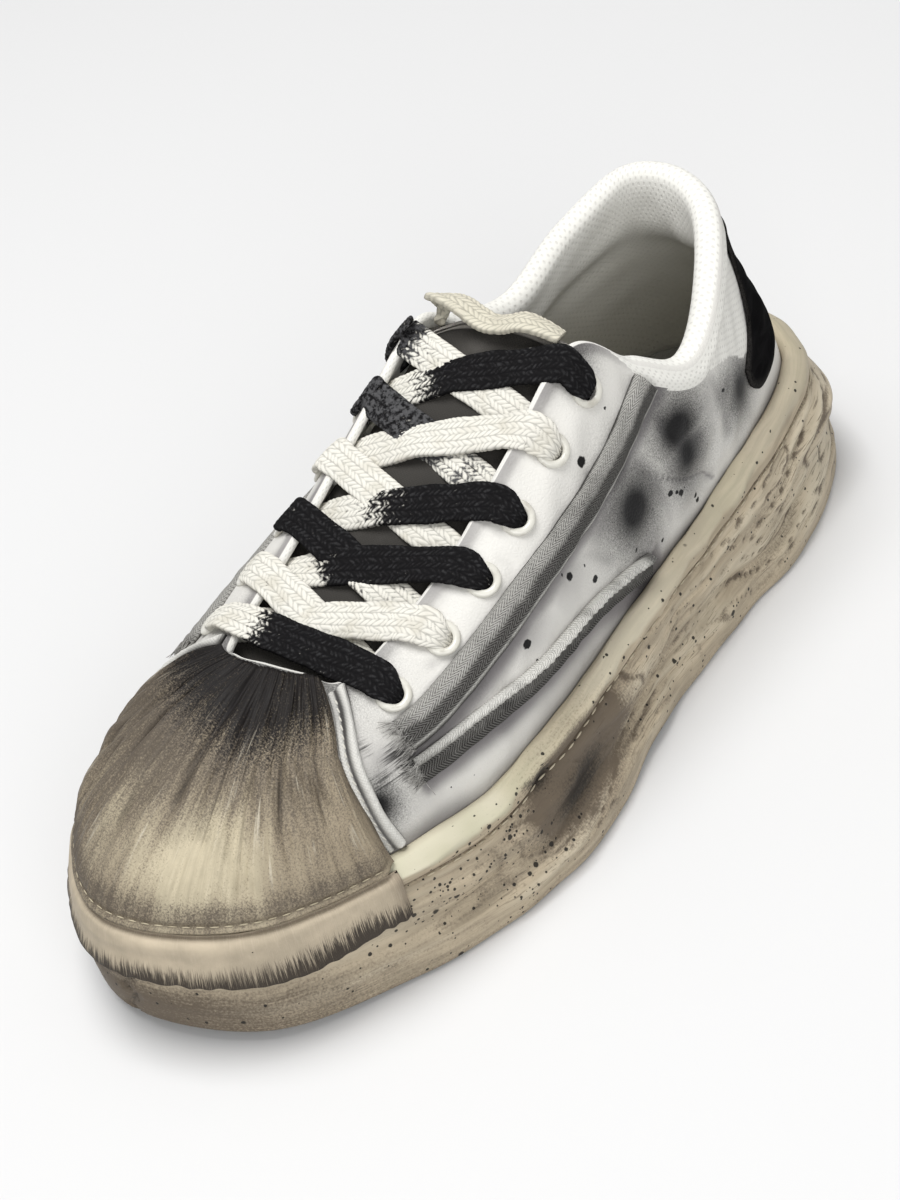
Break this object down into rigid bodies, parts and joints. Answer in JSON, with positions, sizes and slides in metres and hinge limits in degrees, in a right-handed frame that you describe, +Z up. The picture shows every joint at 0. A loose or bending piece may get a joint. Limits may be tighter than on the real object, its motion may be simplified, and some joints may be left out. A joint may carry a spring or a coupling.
{
  "type": "worn low-top platform sneaker",
  "caption": "Worn low-top sneaker with a wavy platform cup sole, fluted rubber toe cap, braided laces, fabric tapes and a suede heel patch.",
  "frame": {"origin": "on the floor under the middle of the shoe's bounding box", "axes": "+Z up, -Y towards the toe, +X towards the wearer's left, the lateral side"},
  "size_m": [0.1178, 0.2881, 0.1135],
  "materials": {
    "outsole": "matt dark tread rubber, dusty",
    "midsole": "yellowed cream rubber, scuffed and speckled",
    "toe_bumper": "tan rubber strip with dark brush marks",
    "toe_cap": "cream rubber, sooty towards the throat",
    "upper": "fine-grained white leather, grey in the creases",
    "tongue": "padded canvas, off-white",
    "insole": "pale cloth, worn",
    "heel_patch": "black suede",
    "heel_strip": "white leather, grey streaks",
    "tape": "grey twill, darker along its lower edge",
    "piping": "white stitched piping",
    "eyelet": "glossy white enamel",
    "lace": "flat braid, off-white with black smudges"
  },
  "bodies": {
    "root": {"outsole": "outsole", "midsole": "midsole", "toe_bumper": "toe_bumper", "toe_cap": "toe_cap", "upper": "upper", "tongue": "tongue", "insole": "insole", "heel_patch": "heel_patch", "heel_strip": "heel_strip", "side_tape_lateral": "tape", "side_tape_medial": "tape", "arch_tape_lateral": "tape", "arch_tape_medial": "tape", "cap_piping_lateral": "piping", "cap_piping_medial": "piping", "eyelet_lateral_1": "eyelet", "eyelet_lateral_2": "eyelet", "eyelet_lateral_3": "eyelet", "eyelet_lateral_4": "eyelet", "eyelet_lateral_5": "eyelet", "eyelet_lateral_6": "eyelet", "eyelet_medial_1": "eyelet", "eyelet_medial_2": "eyelet", "eyelet_medial_3": "eyelet", "eyelet_medial_4": "eyelet", "eyelet_medial_5": "eyelet", "eyelet_medial_6": "eyelet", "lace_crossings": "lace", "lace_loop": "lace"}
  },
  "joints": []
}
